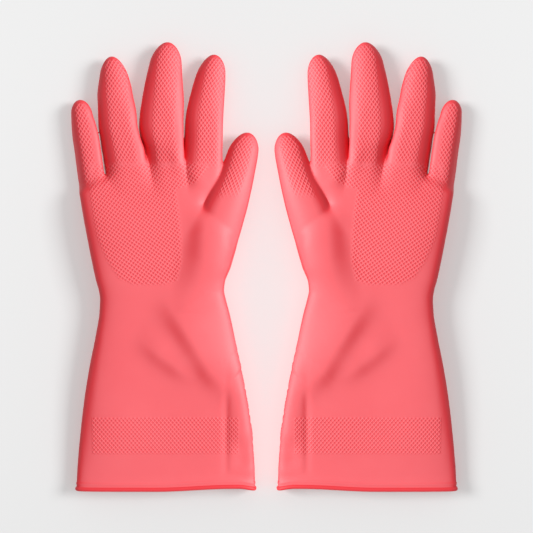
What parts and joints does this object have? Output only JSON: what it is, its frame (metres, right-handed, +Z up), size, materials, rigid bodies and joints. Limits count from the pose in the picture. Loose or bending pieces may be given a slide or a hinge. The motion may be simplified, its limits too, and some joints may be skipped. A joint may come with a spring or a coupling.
{
  "type": "rubber gloves",
  "caption": "Pair of long unworn household rubber gloves lying palm up, with raised diamond grip on palms, fingers and cuffs.",
  "frame": {"origin": "on the surface the gloves lie on, at the middle of the pair", "axes": "+Z up out of the palms, +Y from the cuffs to the fingertips, +X from the right-hand glove to the left-hand glove, which mirror each other in the plane x = 0"},
  "size_m": [0.2628, 0.3033, 0.023],
  "materials": {
    "coral_rubber": "satin dipped latex, coral pink",
    "coral_rubber_edge": "satin dipped latex, rolled edge",
    "flock_lining": "short cotton flock, pale pink"
  },
  "bodies": {
    "left_gauntlet": {"left_gauntlet_shell": "coral_rubber", "left_gauntlet_lining": "flock_lining", "left_cuff_bead": "coral_rubber_edge"},
    "left_hand": {"left_hand_shell": "coral_rubber", "left_hand_lining": "flock_lining"},
    "left_thumb_root": {"left_thumb_root_shell": "coral_rubber", "left_thumb_root_lining": "flock_lining"},
    "left_thumb_tip": {"left_thumb_tip_shell": "coral_rubber", "left_thumb_tip_lining": "flock_lining"},
    "left_index_root": {"left_index_root_shell": "coral_rubber", "left_index_root_lining": "flock_lining"},
    "left_index_tip": {"left_index_tip_shell": "coral_rubber", "left_index_tip_lining": "flock_lining"},
    "left_middle_root": {"left_middle_root_shell": "coral_rubber", "left_middle_root_lining": "flock_lining"},
    "left_middle_tip": {"left_middle_tip_shell": "coral_rubber", "left_middle_tip_lining": "flock_lining"},
    "left_ring_root": {"left_ring_root_shell": "coral_rubber", "left_ring_root_lining": "flock_lining"},
    "left_ring_tip": {"left_ring_tip_shell": "coral_rubber", "left_ring_tip_lining": "flock_lining"},
    "left_little_root": {"left_little_root_shell": "coral_rubber", "left_little_root_lining": "flock_lining"},
    "left_little_tip": {"left_little_tip_shell": "coral_rubber", "left_little_tip_lining": "flock_lining"},
    "right_gauntlet": {"right_gauntlet_shell": "coral_rubber", "right_gauntlet_lining": "flock_lining", "right_cuff_bead": "coral_rubber_edge"},
    "right_hand": {"right_hand_shell": "coral_rubber", "right_hand_lining": "flock_lining"},
    "right_thumb_root": {"right_thumb_root_shell": "coral_rubber", "right_thumb_root_lining": "flock_lining"},
    "right_thumb_tip": {"right_thumb_tip_shell": "coral_rubber", "right_thumb_tip_lining": "flock_lining"},
    "right_index_root": {"right_index_root_shell": "coral_rubber", "right_index_root_lining": "flock_lining"},
    "right_index_tip": {"right_index_tip_shell": "coral_rubber", "right_index_tip_lining": "flock_lining"},
    "right_middle_root": {"right_middle_root_shell": "coral_rubber", "right_middle_root_lining": "flock_lining"},
    "right_middle_tip": {"right_middle_tip_shell": "coral_rubber", "right_middle_tip_lining": "flock_lining"},
    "right_ring_root": {"right_ring_root_shell": "coral_rubber", "right_ring_root_lining": "flock_lining"},
    "right_ring_tip": {"right_ring_tip_shell": "coral_rubber", "right_ring_tip_lining": "flock_lining"},
    "right_little_root": {"right_little_root_shell": "coral_rubber", "right_little_root_lining": "flock_lining"},
    "right_little_tip": {"right_little_tip_shell": "coral_rubber", "right_little_tip_lining": "flock_lining"}
  },
  "joints": [
    {"name": "right_glove_lift", "type": "slide", "parent": "left_gauntlet", "child": "right_gauntlet", "axis": [0, 0, 1], "range_m": [0, 0.12]},
    {"name": "left_wrist", "type": "hinge", "parent": "left_gauntlet", "child": "left_hand", "pos_m": [0.0706, -0.0225, 0.0202], "axis": [1, 0, 0], "range_deg": [0, 60], "stiffness_Nm_per_rad": 0.02},
    {"name": "left_thumb_fold", "type": "hinge", "parent": "left_hand", "child": "left_thumb_root", "pos_m": [0.0353, 0.021, 0.0197], "axis": [0.3955, 0.9184, 0], "range_deg": [0, 35], "stiffness_Nm_per_rad": 0.006},
    {"name": "left_thumb_knuckle", "type": "hinge", "parent": "left_thumb_root", "child": "left_thumb_tip", "pos_m": [0.0197, 0.0631, 0.01765], "axis": [0.9563, 0.2924, 0], "range_deg": [0, 50], "stiffness_Nm_per_rad": 0.003},
    {"name": "left_index_base", "type": "hinge", "parent": "left_hand", "child": "left_index_root", "pos_m": [0.0435, 0.0778, 0.0176], "axis": [1, 0, 0], "range_deg": [0, 70], "stiffness_Nm_per_rad": 0.003},
    {"name": "left_index_knuckle", "type": "hinge", "parent": "left_index_root", "child": "left_index_tip", "pos_m": [0.04206, 0.10984, 0.0163], "axis": [0.9936, 0.1132, 0], "range_deg": [0, 75], "stiffness_Nm_per_rad": 0.003},
    {"name": "left_middle_base", "type": "hinge", "parent": "left_hand", "child": "left_middle_root", "pos_m": [0.069, 0.0778, 0.0176], "axis": [1, 0, 0], "range_deg": [0, 70], "stiffness_Nm_per_rad": 0.003},
    {"name": "left_middle_knuckle", "type": "hinge", "parent": "left_middle_root", "child": "left_middle_tip", "pos_m": [0.07131, 0.11437, 0.01655], "axis": [0.9997, 0.0244, 0], "range_deg": [0, 75], "stiffness_Nm_per_rad": 0.003},
    {"name": "left_ring_base", "type": "hinge", "parent": "left_hand", "child": "left_ring_root", "pos_m": [0.0971, 0.0778, 0.0176], "axis": [1, 0, 0], "range_deg": [0, 70], "stiffness_Nm_per_rad": 0.003},
    {"name": "left_ring_knuckle", "type": "hinge", "parent": "left_ring_root", "child": "left_ring_tip", "pos_m": [0.10315, 0.10929, 0.0163], "axis": [0.9919, -0.1271, 0], "range_deg": [0, 75], "stiffness_Nm_per_rad": 0.003},
    {"name": "left_little_base", "type": "hinge", "parent": "left_hand", "child": "left_little_root", "pos_m": [0.1192, 0.0628, 0.0152], "axis": [1, 0, 0], "range_deg": [0, 70], "stiffness_Nm_per_rad": 0.003},
    {"name": "left_little_knuckle", "type": "hinge", "parent": "left_little_root", "child": "left_little_tip", "pos_m": [0.12334, 0.08645, 0.01415], "axis": [0.989, -0.1478, 0], "range_deg": [0, 75], "stiffness_Nm_per_rad": 0.003},
    {"name": "right_wrist", "type": "hinge", "parent": "right_gauntlet", "child": "right_hand", "pos_m": [-0.0706, -0.0225, 0.0202], "axis": [1, 0, 0], "range_deg": [0, 60], "stiffness_Nm_per_rad": 0.02},
    {"name": "right_thumb_fold", "type": "hinge", "parent": "right_hand", "child": "right_thumb_root", "pos_m": [-0.0353, 0.021, 0.0197], "axis": [0.3955, -0.9184, 0], "range_deg": [0, 35], "stiffness_Nm_per_rad": 0.006},
    {"name": "right_thumb_knuckle", "type": "hinge", "parent": "right_thumb_root", "child": "right_thumb_tip", "pos_m": [-0.0197, 0.0631, 0.01765], "axis": [0.9563, -0.2924, 0], "range_deg": [0, 50], "stiffness_Nm_per_rad": 0.003},
    {"name": "right_index_base", "type": "hinge", "parent": "right_hand", "child": "right_index_root", "pos_m": [-0.0435, 0.0778, 0.0176], "axis": [1, 0, 0], "range_deg": [0, 70], "stiffness_Nm_per_rad": 0.003},
    {"name": "right_index_knuckle", "type": "hinge", "parent": "right_index_root", "child": "right_index_tip", "pos_m": [-0.04206, 0.10984, 0.0163], "axis": [0.9936, -0.1132, 0], "range_deg": [0, 75], "stiffness_Nm_per_rad": 0.003},
    {"name": "right_middle_base", "type": "hinge", "parent": "right_hand", "child": "right_middle_root", "pos_m": [-0.069, 0.0778, 0.0176], "axis": [1, 0, 0], "range_deg": [0, 70], "stiffness_Nm_per_rad": 0.003},
    {"name": "right_middle_knuckle", "type": "hinge", "parent": "right_middle_root", "child": "right_middle_tip", "pos_m": [-0.07131, 0.11437, 0.01655], "axis": [0.9997, -0.0244, 0], "range_deg": [0, 75], "stiffness_Nm_per_rad": 0.003},
    {"name": "right_ring_base", "type": "hinge", "parent": "right_hand", "child": "right_ring_root", "pos_m": [-0.0971, 0.0778, 0.0176], "axis": [1, 0, 0], "range_deg": [0, 70], "stiffness_Nm_per_rad": 0.003},
    {"name": "right_ring_knuckle", "type": "hinge", "parent": "right_ring_root", "child": "right_ring_tip", "pos_m": [-0.10315, 0.10929, 0.0163], "axis": [0.9919, 0.1271, 0], "range_deg": [0, 75], "stiffness_Nm_per_rad": 0.003},
    {"name": "right_little_base", "type": "hinge", "parent": "right_hand", "child": "right_little_root", "pos_m": [-0.1192, 0.0628, 0.0152], "axis": [1, 0, 0], "range_deg": [0, 70], "stiffness_Nm_per_rad": 0.003},
    {"name": "right_little_knuckle", "type": "hinge", "parent": "right_little_root", "child": "right_little_tip", "pos_m": [-0.12334, 0.08645, 0.01415], "axis": [0.989, 0.1478, 0], "range_deg": [0, 75], "stiffness_Nm_per_rad": 0.003}
  ]
}
